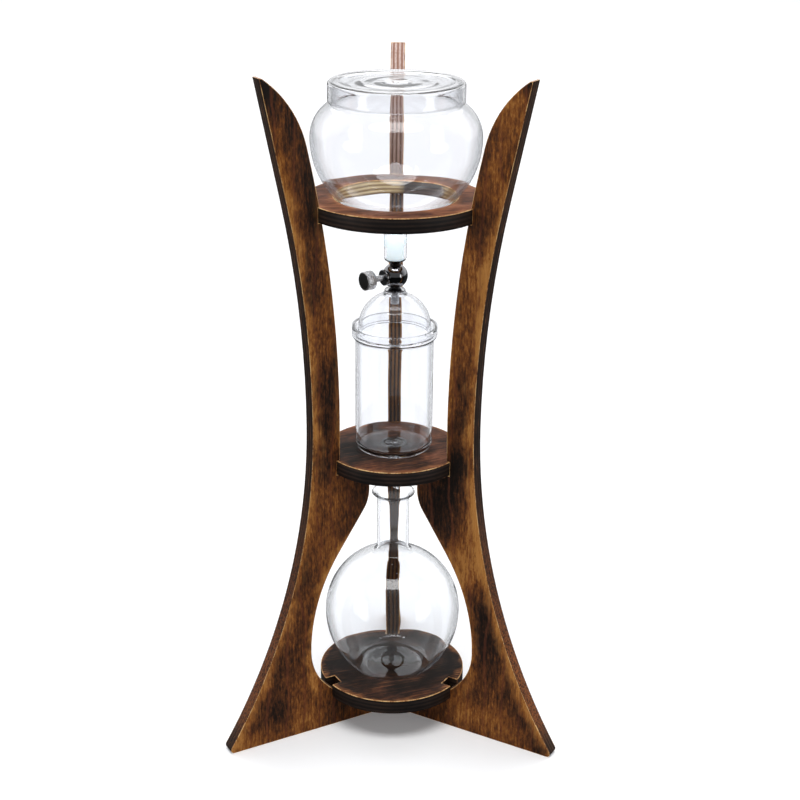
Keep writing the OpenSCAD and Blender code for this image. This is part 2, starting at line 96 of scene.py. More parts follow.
CUP_R = 30.1
CUP_WALL = 1.8
CUP_H = 100.4
LIP_STEP = 2.7
LIP_H = 6.4
LIP_BEND = 3.8
CUP_ROUND = 6.0
CUP_FLOOR = 4.0
FILTER_R = 10.0
FILTER_T = 2.0
OUTLET_R = 4.7
OUTLET_BORE = 3.1
OUTLET_SLANT = 35

FLASK_R = 54.4
BELLY_H = 52.4
SIDE_R = 67.0
BASE_ROUND = 20.0
FLASK_WALL = 1.8
NECK_R = 12.9
NECK_FILLET = 7.0
FLASK_LIP_BEND = 6.2
FLASK_LIP_TURN = 72
FLASK_H = 158.0

VALVE_Z = 373.0
SPINDLE_TURN = 215
STEM_R = 1.95
STEM_PITCH = 0.7

# ---- Fineness of the meshes: widths and steps in millimetres, angles in degrees ----
SPIN_STEPS = 144
LONGEST_STEP = 2.5
FLAT_ENOUGH = 0.4
# A length that counts as none
TINY = 1e-6
BOARD_BEVEL = 0.8
DISC_BEVEL = 0.5
GLASS_BEVEL = 0.6
WIDE_GLASS_BEVEL = 0.8
GLASS_BEVEL_STEPS = 4
GLASS_SHARP = 35
FILTER_BEVEL = 0.15
WOOD_SHARP, METAL_SHARP, THREAD_SHARP, NEVER_SHARP = 30, 35, 50, 180

# ---- Unevenness of the glass, in millimetres where nothing else is said ----
WAVES_PER_METRE = 38
SLIGHT_WAVES = 0.12
FLASK_WAVES = 0.6
# Rings that the pressing left in the lid's panel: radius, width, height
LID_RINGS = [(35.5, 2.4, 0.25), (27.0, 2.8, 0.75), (19.5, 3.0, -0.3)]
RING_DRIFT = 3.0
RING_WAVES_PER_METRE = 32
GATHER_R = 16
GATHER_H = 1.3
GATHER_WAVES_PER_METRE = 105
# The flask's floor: how much thicker it is in the middle, and its ripples' height, turn per millimetre and step
FLOOR_SWELL = 0.7
RIPPLE_H = 0.35
RIPPLE_TURN = 0.62
RIPPLE_STEP = 1.5


# ---- Shader helpers ----
def new_material(name):
    """An empty material and its node tree."""
    made = bpy.data.materials.new(name)
    made.use_nodes = True
    made.node_tree.nodes.clear()
    return made, made.node_tree


def add(tree, kind, settings=None, **sockets):
    """A node with its settings, and its sockets set to a value or linked to another node's output.
    A socket is named by its own name, or by its number as in s0."""
    made = tree.nodes.new(kind)
    for name, value in (settings or {}).items():
        setattr(made, name, value)
    for name, value in sockets.items():
        numbered = name[0] == "s" and name[1:].isdigit()
        socket = made.inputs[int(name[1:])] if numbered else made.inputs[name.replace("_", " ")]
        if isinstance(value, bpy.types.NodeSocket):
            tree.links.new(value, socket)
        else:
            socket.default_value = value
    return made


def linear(red, green, blue):
    """A colour given as it looks on screen, 0 to 255, in the shader's linear values."""
    return tuple(((c / 255 + 0.055) / 1.055) ** 2.4 for c in (red, green, blue)) + (1.0,)


def maths(tree, operation, first, second=0.0, third=0.0, clamp=False):
    settings = {"operation": operation, "use_clamp": clamp}
    return add(tree, "ShaderNodeMath", settings, s0=first, s1=second, s2=third).outputs[0]


def times(tree, first, second, clamp=False):
    return maths(tree, "MULTIPLY", first, second, clamp=clamp)


def close_to(tree, value, target_mm, width_mm):
    """1 where the value is at the target, fading to 0 at width from it."""
    off = maths(tree, "ABSOLUTE", maths(tree, "SUBTRACT", value, target_mm * MM))
    return maths(tree, "SUBTRACT", 1.0, maths(tree, "DIVIDE", off, width_mm * MM), clamp=True)


def length_of(tree, way):
    return add(tree, "ShaderNodeVectorMath", {"operation": "LENGTH"}, s0=way).outputs["Value"]


def spread(tree, value, low, high, first=0.0, last=1.0):
    """first where the value is low, last where it is high, and even steps between."""
    return add(tree, "ShaderNodeMapRange", {"clamp": True}, Value=value, From_Min=low, From_Max=high,
               To_Min=first, To_Max=last).outputs[0]


def mixed(tree, share, first, second):
    """One colour from two: the first where share is 0, the second where it is 1."""
    settings = {"data_type": "RGBA", "blend_type": "MIX", "clamp_factor": True}
    return add(tree, "ShaderNodeMix", settings, s0=share, s6=first, s7=second).outputs[2]


def ramp(tree, value, stops):
    """Colours, or shades of grey, spread over a value from 0 to 1. stops is a list of (place, colour)."""
    made = add(tree, "ShaderNodeValToRGB", s0=value)
    while len(made.color_ramp.elements) < len(stops):
        made.color_ramp.elements.new(0.5)
    for element, (place, colour) in zip(made.color_ramp.elements, stops):
        element.position = place
        element.color = colour if hasattr(colour, "__len__") else (colour, colour, colour, 1.0)
    return made.outputs[0]


def stretched(tree, place, scale, offset=(0.0, 0.0, 0.0)):
    """The coordinates place, stretched and shifted."""
    return add(tree, "ShaderNodeMapping", Vector=place, Scale=scale, Location=offset).outputs[0]


def cloudy(tree, place, scale, detail=3.0, roughness=0.55, distortion=0.0, offset=(0.0, 0.0, 0.0)):
    """Noise from 0 to 1. scale has one value for each direction, in features per metre."""
    where = stretched(tree, place, scale, offset)
    return add(tree, "ShaderNodeTexNoise", Vector=where, Scale=1.0, Detail=detail,
               Roughness=roughness, Distortion=distortion).outputs["Fac"]


def object_place(tree):
    return add(tree, "ShaderNodeTexCoord").outputs["Object"]


def turned_place(tree, turn):
    """Object coordinates turned so that X runs outwards along a board, Y across it, and Z up."""
    rotation = (0.0, 0.0, math.radians(-turn))
    return add(tree, "ShaderNodeMapping", Vector=object_place(tree), Rotation=rotation).outputs[0]


def bumped(tree, height, strength, depth_mm):
    """A normal that makes height look like relief."""
    return add(tree, "ShaderNodeBump", Strength=strength, Distance=depth_mm * MM, Height=height).outputs[0]


def finished(made, colour, roughness, normal=None, **plain):
    """Ends a material in one Principled shader."""
    tree = made.node_tree
    shader = add(tree, "ShaderNodeBsdfPrincipled", Base_Color=colour, Roughness=roughness, **plain)
    if normal is not None:
        tree.links.new(normal, shader.inputs["Normal"])
    output = add(tree, "ShaderNodeOutputMaterial")
    tree.links.new(shader.outputs[0], output.inputs["Surface"])
    return made


# ---- Scorched plywood ----
GOLDEN = linear(160, 107, 51)
HONEY = linear(126, 74, 30)
WALNUT = linear(84, 48, 23)
CHAR = linear(44, 27, 18)
SOOT = linear(24, 18, 15)
WORN_EDGE = linear(222, 182, 124)
STRAW = linear(252, 230, 180)
PALE_PLY = linear(241, 226, 224)
RED_BROWN = linear(100, 52, 32)
EMBER = linear(158, 98, 56)

# Flame marks on each board's faces: distance from the axis, height, half width, half height, depth.
# Where the depth is below 0, the flame spared the wood.
SCORCH = {
    "leg_left": [
        (108, 524, 16, 28, 0.9), (88, 498, 12, 44, 0.35), (70, 452, 22, 44, 0.5), (62, 428, 20, 34, 0.35),
        (56, 293, 20, 66, 0.4), (72, 250, 14, 80, 0.25), (97, 66, 48, 56, 0.34), (84, 122, 20, 40, -0.12),
        (110, 28, 40, 34, 0.55), (44, 21, 26, 36, 0.4), (25, 198, 22, 40, 0.4), (60, 232, 30, 22, 0.3),
        (68, 480, 8, 40, -0.25), (56, 397, 10, 50, -0.25), (62, 340, 16, 66, -0.25), (62, 150, 24, 56, -0.3),
        (132, 3, 26, 18, -0.25), (80, 12, 20, 14, -0.15), (70, 330, 60, 210, 0.22),
    ],
    "leg_right": [
        (109, 527, 12, 18, 0.6), (69, 424, 22, 30, 0.4), (72, 297, 20, 70, 0.35),
        (53, 200, 26, 50, 0.5), (60, 228, 30, 24, 0.35), (84, 116, 26, 50, 0.15), (97, 84, 44, 52, 0.3),
        (120, 40, 40, 42, 0.31), (142, 4, 20, 20, 0.4), (36, 18, 30, 32, 0.35),
        (92, 500, 18, 60, -0.3), (82, 470, 14, 54, -0.35), (64, 393, 14, 44, -0.25), (78, 362, 16, 66, -0.3),
        (70, 151, 20, 70, -0.4), (84, 16, 40, 20, -0.35), (70, 330, 60, 160, 0.2),
    ],
    "leg_back": [
        (66, 430, 30, 60, 0.5), (62, 300, 30, 120, 0.5), (60, 200, 36, 80, 0.5), (90, 90, 44, 70, 0.5),
        (112, 30, 40, 34, 0.35), (106, 519, 18, 30, 0.9), (88, 480, 16, 50, -0.3), (80, 360, 20, 60, -0.3),
        (76, 150, 20, 60, -0.3), (124, 6, 34, 20, -0.3),
    ],
}

# Arcs of a board's outline whose corners were rubbed: middle (distance, height), radius, how far in it shows,
# and the heights it starts and ends at
RUBBED_ARCS = [
    ((553.5, 262), 480, 10, 0, 262), ((923.5, 262), 850, 8, 262, 440),
    ((1000.2, 262), 950, 5, 246, 440), ((-71.2, 72), 148, 6, 40, 200),
]
RUBBED_FADE_IN, RUBBED_FADE_OUT = 15, 20
# How far in the rubbing of a disc's corner shows
RUBBED_RIM = 5
# How much of the rubbing each board shows along its outer low, outer high, inner and bay arcs
RUBBING = {
    "leg_left": (0.7, 0.75, 0.35, 0.7),
    "leg_right": (1.0, 1.0, 0.3, 0.5),
    "leg_back": (0.6, 0.6, 0.5, 0.5),
}
# How much wider and taller a flame mark is drawn than it is listed, since it fades to nothing at its edge
MARK_WIDER, MARK_TALLER = 1.35, 1.25
# What is taken off the sum of the marks and noises, so that 0 is bare wood and 1 is soot
BOARD_START, DISC_START = -1.665, -1.475
# Heights in metres: where an inner edge turns pale, where it is no longer very dark, and where the sanding of an
# outer edge fades out and sets in
EDGE_PALES = (0.462, 0.565)
EDGE_LIGHTENS = (0.2, 0.27)
SANDING_FADES = (0.07, 0.22)
SANDING_STARTS = (0.01, 0.03)


def flame_mark(tree, place, middle, half_sizes):
    """1 in the middle of a round mark, fading to 0 at its edge."""
    scale = tuple(1 / (h * MM) if h else 0.0 for h in half_sizes)
    offset = tuple(-m / h if h else 0.0 for m, h in zip(middle, half_sizes))
    return add(tree, "ShaderNodeTexGradient", {"gradient_type": "QUADRATIC_SPHERE"},
               Vector=stretched(tree, place, scale, offset)).outputs["Fac"]


def swayed(tree, place, per_metre, reach_mm, seed):
    """The coordinates, pushed about by slow noise so that nothing drawn on them is quite regular."""
    drift = add(tree, "ShaderNodeTexNoise", Vector=stretched(tree, place, (per_metre,) * 3, seed), Scale=1.0,
                Detail=3.0, Roughness=0.6).outputs["Color"]
    drift = add(tree, "ShaderNodeVectorMath", {"operation": "SUBTRACT"}, s0=drift, s1=(0.5, 0.5, 0.5)).outputs[0]
    reach = 2 * reach_mm * MM
    return add(tree, "ShaderNodeVectorMath", {"operation": "MULTIPLY_ADD"}, s0=drift, s1=(reach,) * 3,
               s2=place).outputs[0]


def near_arc(tree, place, middle, radius, width):
    """1 on an arc of the board's outline, fading to 0 at width from it."""
    flat = stretched(tree, place, (1.0, 0.0, 1.0), (-middle[0] * MM, 0.0, -middle[1] * MM))
    return close_to(tree, length_of(tree, flat), radius, width)


def summed(tree, parts, start=0.0):
    """The sum of (value, weight) pairs and a starting value."""
    total = start
    for value, weight in parts:
        total = maths(tree, "MULTIPLY_ADD", value, weight, total)
    return total


def board_face(node):
    """Brushed face veneer, scorched in clouds over a golden ground. Its grain runs along Z."""
    made, tree = new_material(f"{node}_face")
    seed = (BOARD_TURNS[node] * 0.37, 3.1, 1.7)
    place = turned_place(tree, BOARD_TURNS[node])
    fibre = cloudy(tree, place, (820, 820, 40), 3, 0.65, 0.0, seed)
    streaks = cloudy(tree, place, (480, 480, 18), 4, 0.75, 0.2, seed)
    mottle = cloudy(tree, place, (640, 640, 190), 3, 0.7, 0.0, seed)
    patches = cloudy(tree, place, (60, 60, 34), 2, 0.5, 0.4, seed)
    clouds = cloudy(tree, place, (17, 17, 12), 1, 0.5, 0.3, seed)
    loose = swayed(tree, place, 40, 11, seed)
    marks = [(flame_mark(tree, loose, (r, 0, z), (MARK_WIDER * w, 0, MARK_TALLER * h)), depth)
             for r, z, w, h, depth in SCORCH[node]]
    height = add(tree, "ShaderNodeSeparateXYZ", Vector=place).outputs["Z"]
    rubbed = 0.0
    for (middle, radius, width, low, high), share in zip(RUBBED_ARCS, RUBBING[node]):
        starts = spread(tree, height, (low - RUBBED_FADE_IN) * MM, low * MM, 0.0, share)
        ends = spread(tree, height, high * MM, (high + RUBBED_FADE_OUT) * MM, 1.0, 0.0)
        near = times(tree, near_arc(tree, loose, middle, radius, width), starts)
        rubbed = maths(tree, "MULTIPLY_ADD", near, ends, rubbed)
    weights = [(fibre, 0.7), (streaks, 0.6), (mottle, 1.3), (patches, 0.45), (clouds, 1.1), (rubbed, -0.6)]
    char = summed(tree, marks + weights, BOARD_START)
    ground = ramp(tree, char, [(0.0, GOLDEN), (0.24, HONEY), (0.5, WALNUT), (0.8, CHAR), (1.0, SOOT)])
    where = stretched(tree, swayed(tree, place, 9, 12, seed), (1.0, 1.0, 0.12), seed)
    growth = add(tree, "ShaderNodeTexWave", {"bands_direction": "X"}, Vector=where, Scale=20.0, Distortion=2.5,
                 Detail=2.0, Detail_Scale=2.0).outputs["Fac"]
    lines = ramp(tree, growth, [(0.0, 1.0), (0.07, 0.0)])
    ground = mixed(tree, times(tree, lines, 0.42), ground, RED_BROWN)
    pores = cloudy(tree, place, (1900, 1900, 230), 2, 0.5, 0.0, seed)
    pits = ramp(tree, pores, [(0.3, 1.0), (0.43, 0.0)])
    ground = mixed(tree, times(tree, pits, 0.5), ground, CHAR)
    bright = times(tree, rubbed, ramp(tree, streaks, [(0.42, 0.0), (0.66, 0.55)]), clamp=True)
    ground = mixed(tree, bright, ground, linear(196, 140, 76))
    roughness = ramp(tree, patches, [(0.2, 0.5), (0.8, 0.65)])
    relief = summed(tree, [(fibre, 1.0), (streaks, 0.6), (pits, -0.6)])
    return finished(made, ground, roughness, bumped(tree, relief, 0.5, 0.14), Specular_IOR_Level=0.1)


def plies(tree, across, thick_mm):
    """0 to 1 and back once for every two plies, measured across the sheet."""
    turns = times(tree, across, PLIES / 2 / (thick_mm * MM))
    return times(tree, maths(tree, "PINGPONG", turns, 0.5), 2.0)


def board_edge(node, outside):
    """Sawn edge of a board: scorched plies with end grain between them."""
    made, tree = new_material(f"{node}_{'outer' if outside else 'inner'}_edge")
    seed = (BOARD_TURNS[node] * 0.21, 1.3, 0.4)
    place = turned_place(tree, BOARD_TURNS[node])
    split = add(tree, "ShaderNodeSeparateXYZ", Vector=swayed(tree, place, 60, 0.35, seed))
    layer = plies(tree, split.outputs["Y"], BOARD_THICK)
    fibre = cloudy(tree, place, (600, 1700, 60), 4, 0.65, 0.0, seed)
    clouds = cloudy(tree, place, (30, 30, 16), 4, 0.6, 0.4, seed)
    worn = cloudy(tree, place, (300, 800, 60), 4, 0.7, 0.0, seed)
    if outside:
        dark = ramp(tree, clouds, [(0.25, CHAR), (0.6, SOOT), (0.8, linear(66, 45, 34))])
        light = ramp(tree, clouds, [(0.25, linear(84, 60, 46)), (0.7, linear(42, 31, 26))])
        scuffs = ramp(tree, worn, [(0.58, 0.0), (0.72, 1.0)])
    else:
        # The inner edges pale towards the horn, where the flame hardly touched them
        height = maths(tree, "MULTIPLY_ADD", clouds, 0.09, split.outputs["Z"])
        pale = spread(tree, height, *EDGE_PALES)
        low = ramp(tree, clouds, [(0.3, linear(156, 104, 50)), (0.65, linear(112, 72, 36))])
        high = ramp(tree, clouds, [(0.3, PALE_PLY), (0.8, linear(190, 154, 136))])
        deep = spread(tree, split.outputs["Z"], *EDGE_LIGHTENS, 0.85, 0.0)
        low = mixed(tree, deep, low, linear(78, 52, 30))
        light = mixed(tree, pale, low, high)
        dark = ramp(tree, clouds, [(0.3, linear(46, 27, 15)), (0.7, linear(26, 17, 12))])
        dark = mixed(tree, pale, dark, linear(150, 112, 96))
        scuffs = ramp(tree, worn, [(0.62, 0.0), (0.8, 0.6)])
    stripes = ramp(tree, layer, [(0.36, 1.0), (0.54, 0.0)])
    colour = mixed(tree, stripes, light, dark)
    colour = mixed(tree, ramp(tree, fibre, [(0.35, 0.0), (0.7, 0.75)]), colour, dark)
    colour = mixed(tree, times(tree, scuffs, 0.55), colour, EMBER)
    if outside:
        # Sanded warm brown towards the foot
        sanded = spread(tree, split.outputs["Z"], *SANDING_FADES, 0.9 * RUBBING[node][0], 0.0)
        sanded = times(tree, sanded, spread(tree, split.outputs["Z"], *SANDING_STARTS))
        speckle = cloudy(tree, place, (700, 700, 500), 3, 0.7, 0.0, seed)
        sanded = times(tree, sanded, ramp(tree, speckle, [(0.4, 0.0), (0.6, 1.0)]))
        colour = mixed(tree, sanded, colour, linear(146, 84, 42))
    height = summed(tree, [(fibre, 1.0), (layer, 0.4)])
    return finished(made, colour, 0.62, bumped(tree, height, 0.6, 0.2), Specular_IOR_Level=0.15)


def rubbed_arris():
    """Corners of the boards, rubbed back to bright wood in broken stretches."""
    made, tree = new_material("rubbed_arris")
    place = object_place(tree)
    broken = cloudy(tree, place, (120, 120, 60), 4, 0.65)
    speckle = cloudy(tree, place, (900, 900, 500), 2, 0.6)
    worn = maths(tree, "ADD", broken, times(tree, maths(tree, "SUBTRACT", speckle, 0.5), 0.5))
    colour = ramp(tree, worn, [(0.32, WALNUT), (0.44, linear(168, 118, 70)), (0.6, WORN_EDGE)])
    return finished(made, colour, 0.6, bumped(tree, speckle, 0.4, 0.1), Specular_IOR_Level=0.2)


def charred_arris():
    """Corners that stayed dark, with small bright chips."""
    made, tree = new_material("charred_arris")
    place = object_place(tree)
    broken = cloudy(tree, place, (150, 150, 90), 4, 0.65)
    colour = ramp(tree, broken, [(0.4, SOOT), (0.55, CHAR), (0.64, linear(120, 82, 56)), (0.74, WORN_EDGE)])
    return finished(made, colour, 0.6, bumped(tree, broken, 0.4, 0.15), Specular_IOR_Level=0.15)


def disc_face(name, turn, marks, offset, rims):
    """Scorched veneer of a ring or disc. Its grain runs sideways, turned by turn. marks are flame marks as
    (along, across, half length, half width, depth), and rims are the radii whose corners were rubbed."""
    made, tree = new_material(name)
    place = turned_place(tree, turn)
    seed = (turn * 0.11, 2.3, 0.9)
    fibre = cloudy(tree, place, (60, 1300, 600), 4, 0.7, 0.0, seed)
    streaks = cloudy(tree, place, (20, 330, 200), 4, 0.75, 0.5, seed)
    scratches = cloudy(tree, place, (45, 900, 300), 2, 0.6, 0.2, (turn, 0.4, 5.1))
    clouds = cloudy(tree, place, (26, 40, 30), 4, 0.65, 0.6, seed)
    loose = swayed(tree, place, 45, 9, seed)
    spots = [(flame_mark(tree, loose, (x, y, 0), (w, h, 0)), depth) for x, y, w, h, depth in marks]
    char = summed(tree, spots + [(fibre, 0.85), (streaks, 0.6), (clouds, 1.5)], offset + DISC_START)
    colour = ramp(tree, char, [(0.05, linear(152, 100, 66)), (0.3, linear(118, 70, 46)),
                               (0.52, linear(80, 46, 30)), (0.78, linear(44, 29, 22)), (1.0, SOOT)])
    glow = ramp(tree, scratches, [(0.56, 0.0), (0.68, 1.0)])
    glow = times(tree, glow, spread(tree, char, 0.5, 1.0, 0.36, 0.06))
    colour = mixed(tree, glow, colour, linear(172, 106, 56))
    dark = ramp(tree, scratches, [(0.32, 1.0), (0.42, 0.0)])
    colour = mixed(tree, times(tree, dark, 0.25), colour, SOOT)
    distance = length_of(tree, stretched(tree, loose, (1.0, 1.0, 0.0)))
    broken = ramp(tree, streaks, [(0.42, 0.0), (0.6, 0.8)])
    for radius in rims:
        near = times(tree, close_to(tree, distance, radius, RUBBED_RIM), broken)
        colour = mixed(tree, near, colour, linear(168, 108, 66))
    height = summed(tree, [(fibre, 1.0), (scratches, 0.7)])
    return finished(made, colour, ramp(tree, clouds, [(0.3, 0.5), (0.7, 0.65)]), bumped(tree, height, 0.45, 0.14),
                    Specular_IOR_Level=0.06)


# Width of the ring's hole, in metres
HOLE_ACROSS = 0.094


def disc_edge(name, wall):
    """Round edge of a disc. The wall of the ring's hole kept pale plies, most of them at the back left."""
    made, tree = new_material(name)
    place = object_place(tree)
    split = add(tree, "ShaderNodeSeparateXYZ", Vector=swayed(tree, place, 60, 0.3, (0.3, 0.1, 0.7)))
    layer = plies(tree, split.outputs["Z"], DISC_THICK)
    fibre = cloudy(tree, place, (70, 70, 900), 4, 0.7)
    clouds = cloudy(tree, place, (24, 24, 30), 4, 0.6, 0.4)
    stripes = ramp(tree, layer, [(0.42, 1.0), (0.6, 0.0)])
    light = ramp(tree, clouds, [(0.3, linear(60, 44, 36)), (0.7, linear(34, 28, 25))])
    dark = ramp(tree, clouds, [(0.3, linear(34, 25, 21)), (0.6, linear(21, 17, 16))])
    if wall:
        # 0 at the left of the hole and 1 at its right
        side = maths(tree, "MULTIPLY_ADD", split.outputs["X"], 1 / HOLE_ACROSS, 0.42)
        side = maths(tree, "MULTIPLY_ADD", clouds, 0.16, side)
        spared = ramp(tree, side, [(0.52, 1.0), (0.58, 0.0), (0.88, 0.0), (0.93, 0.85)])
        straw = ramp(tree, clouds, [(0.3, STRAW), (0.7, linear(176, 150, 106))])
        light = mixed(tree, spared, linear(84, 70, 60), straw)
        dark = mixed(tree, spared, linear(48, 40, 36), linear(140, 112, 72))
    colour = mixed(tree, stripes, light, dark)
    colour = mixed(tree, ramp(tree, fibre, [(0.35, 0.0), (0.7, 0.7)]), colour, dark)
    height = summed(tree, [(fibre, 1.0), (layer, 0.4)])
    return finished(made, colour, 0.5, bumped(tree, height, 0.6, 0.2), Specular_IOR_Level=0.2)


# ---- Glass, metal, silicone and rubber ----
# Less than that of real glass, so that the thin walls show as thin lines
GLASS_BEND = 1.4


def clear_glass(name, tint, grey_per_metre, easing):
    """Clear glass that lets lamp light through. Where the view runs along a wall its faint grey shows, and
    the bend of the light is eased, so that an outline stays a thin grey line."""
    made, tree = new_material(name)
    glass = add(tree, "ShaderNodeBsdfPrincipled", Base_Color=tint, Roughness=0.0, IOR=GLASS_BEND,
                Transmission_Weight=1.0, Specular_IOR_Level=0.42)
    place = object_place(tree)
    waves = cloudy(tree, place, (34, 34, 22), 1, 0.4)
    tree.links.new(bumped(tree, waves, 0.06, 0.5), glass.inputs["Normal"])
    through = add(tree, "ShaderNodeBsdfTransparent", Color=(0.95, 0.965, 0.98, 1.0))
    facing = add(tree, "ShaderNodeLayerWeight", Blend=0.5).outputs["Facing"]
    eased = times(tree, spread(tree, facing, 0.55, 0.95), easing)
    share = maths(tree, "MAXIMUM", eased, add(tree, "ShaderNodeLightPath").outputs["Is Shadow Ray"])
    both = add(tree, "ShaderNodeMixShader", s0=share, s1=glass.outputs[0], s2=through.outputs[0])
    body = add(tree, "ShaderNodeVolumeAbsorption", Color=(0.34, 0.37, 0.42, 1.0), Density=grey_per_metre)
    output = add(tree, "ShaderNodeOutputMaterial")
    tree.links.new(both.outputs[0], output.inputs["Surface"])
    tree.links.new(body.outputs[0], output.inputs["Volume"])
    return made


def polished_metal(name, colour, smudge):
    """Polished metal with faint smudges."""
    made, tree = new_material(name)
    place = object_place(tree)
    smudges = cloudy(tree, place, (180, 180, 180), 4, 0.6)
    roughness = ramp(tree, smudges, [(0.3, smudge * 0.6), (0.75, smudge * 1.6)])
    tone = mixed(tree, times(tree, smudges, 0.25), colour, tuple(c * 0.7 for c in colour[:3]) + (1.0,))
    return finished(made, tone, roughness, Metallic=1.0)


def turned_steel(name, turn_axis):
    """Steel with fine marks of turning round the spindle."""
    made, tree = new_material(name)
    place = turned_place(tree, turn_axis)
    marks = cloudy(tree, place, (5200, 40, 40), 3, 0.6)
    colour = ramp(tree, marks, [(0.3, linear(178, 178, 180)), (0.7, linear(228, 228, 230))])
    return finished(made, colour, ramp(tree, marks, [(0.3, 0.2), (0.7, 0.34)]),
                    bumped(tree, marks, 0.25, 0.04), Metallic=1.0)


def pale_silicone_painted_glow():
    """Silicone that light wanders through. Its emission is a painted glow that keeps it bright, though it is no
    lamp.
    """
    made, tree = new_material("pale_silicone_painted_glow")
    place = object_place(tree)
    haze = cloudy(tree, place, (160, 160, 90), 3, 0.6)
    colour = ramp(tree, haze, [(0.3, linear(226, 249, 252)), (0.7, linear(246, 255, 255))])
    # The emission below is painted light: a glow on the stopper and the needle, which are no lamps
    return finished(made, colour, ramp(tree, haze, [(0.3, 0.3), (0.7, 0.45)]), Subsurface_Weight=0.6,
                    Subsurface_Radius=(0.006, 0.007, 0.008), Subsurface_Scale=1.0,
                    Emission_Color=(0.86, 0.98, 1.0, 1.0), Emission_Strength=0.3, IOR=1.41)


def black_rubber(name, shade):
    """Fine-grained dark rubber or plastic. shade is its darkest grey, 0 to 255."""
    made, tree = new_material(name)
    place = object_place(tree)
    grain = cloudy(tree, place, (2400, 2400, 2400), 3, 0.6)
    colour = ramp(tree, grain, [(0.3, linear(*(shade,) * 3)), (0.7, linear(*(shade + 12,) * 3))])
    return finished(made, colour, ramp(tree, grain, [(0.3, 0.35), (0.7, 0.5)]),
                    bumped(tree, grain, 0.3, 0.02), Specular_IOR_Level=0.2)


# ---- Mesh helpers ----
def arc(middle, radius, start, end, step=4.0):
    """Points of an arc in a profile of (distance from the axis, height)."""
    count = max(2, math.ceil(abs(end - start) / step))
    angles = [math.radians(start + (end - start) * i / count) for i in range(count + 1)]
    return [(middle[0] + radius * math.cos(a), middle[1] + radius * math.sin(a)) for a in angles]


def heading(start, end):
    """The angle of the way from start to end."""
    return math.degrees(math.atan2(end[1] - start[1], end[0] - start[0]))


def without_repeats(points):
    """The closed profile without points that lie on the next one."""
    return [p for p, q in zip(points, points[1:] + points[:1]) if math.dist(p, q) > 1e-4]


def even(points):
    """The closed profile with its long straight stretches cut up, so that a bend's shading stays at the bend."""
    made = []
    for (x0, z0), (x1, z1) in zip(points, points[1:] + points[:1]):
        count = max(1, math.ceil(math.hypot(x1 - x0, z1 - z0) / LONGEST_STEP))
        on_axis = max(x0, x1) < TINY
        steps = range(1 if on_axis else count)
        made += [(x0 + (x1 - x0) * i / count, z0 + (z1 - z0) * i / count) for i in steps]
    return made


def spun(profile, base_z):
    """A bmesh spun round the tower's axis from a closed profile in millimetres."""
    bm = bmesh.new()
    verts = [bm.verts.new((x * MM, 0.0, (base_z + z) * MM)) for x, z in profile]
    rim = [bm.edges.new(pair) for pair in zip(verts, verts[1:] + verts[:1])
           if max(pair[0].co.x, pair[1].co.x) > TINY * MM]
    bmesh.ops.spin(bm, geom=verts + rim, cent=(0, 0, 0), axis=(0, 0, 1), angle=math.tau,
                   steps=SPIN_STEPS, use_merge=True)
    bmesh.ops.remove_doubles(bm, verts=bm.verts, dist=TINY)
    bmesh.ops.recalc_face_normals(bm, faces=bm.faces)
    return bm


def merged_copy(node):
    """A bmesh of a CAD node's own shape, with its doubles merged and its flat faces whole."""
    bm = bmesh.new()
    bm.from_mesh(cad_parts[node].data)
    bmesh.ops.remove_doubles(bm, verts=bm.verts, dist=TINY)
    bmesh.ops.dissolve_limit(bm, angle_limit=math.radians(FLAT_ENOUGH), verts=bm.verts, edges=bm.edges)
    return bm


def softened(bm, width_mm, segments=2, sharpest=28):
    """Bevels the sharp edges, and returns the new faces."""
    limit = math.radians(sharpest)
    edges = [e for e in bm.edges if len(e.link_faces) == 2 and e.calc_face_angle(0.0) > limit]
    made = bmesh.ops.bevel(bm, geom=edges, offset=width_mm * MM, offset_type="OFFSET", segments=segments,
                           profile=0.5, affect="EDGES", clamp_overlap=True, material=-1)
    return set(made["faces"])


def linked(name, data):
    """A new object in the scene."""
    made = bpy.data.objects.new(name, data)
    bpy.context.scene.collection.objects.link(made)
    return made


def meshed(bm, name):
    """The object that a bmesh makes. The bmesh is used up."""
    mesh = bpy.data.meshes.new(name)
    bm.to_mesh(mesh)
    bm.free()
    return linked(name, mesh)


def placed(bm, name, materials, body, nodes, smooth_angle=40):
    """Makes the finished object: shaded smooth, riding on its body and standing for its CAD nodes."""
    piece = meshed(bm, name)
    mesh = piece.data
    for material in materials:
        mesh.materials.append(material)
    mesh.shade_smooth()
    mesh.set_sharp_from_angle(angle=math.radians(smooth_angle))
    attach(piece, body)
    if nodes:
        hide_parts(*nodes)
    return piece


# ---- Wooden stand ----
# The order of the materials on a board, and on a disc
FACE, RIM, RUBBED_CORNER, CHARRED_CORNER, INNER = range(5)


def board(node):
    """A board. Its corners that look outwards stayed dark, the others were rubbed."""
    turn = math.radians(BOARD_TURNS[node])
    along = Vector((math.cos(turn), math.sin(turn), 0.0))
    across = Vector((-math.sin(turn), math.cos(turn), 0.0))
    bm = merged_copy(node)
    arris = softened(bm, BOARD_BEVEL)
    for face in bm.faces:
        if face in arris:
            face.material_index = CHARRED_CORNER if face.normal.dot(along) > 0.8 else RUBBED_CORNER
        elif abs(face.normal.dot(across)) > 0.9:
            face.material_index = FACE
        else:
            outside = face.normal.dot(along) > 0.05 or face.normal.z < -0.9
            face.material_index = RIM if outside else INNER
    materials = [board_face(node), board_edge(node, True), RUBBED, CHARRED, board_edge(node, False)]
    return placed(bm, node.replace("leg", "board"), materials, "stand", [node], WOOD_SHARP)


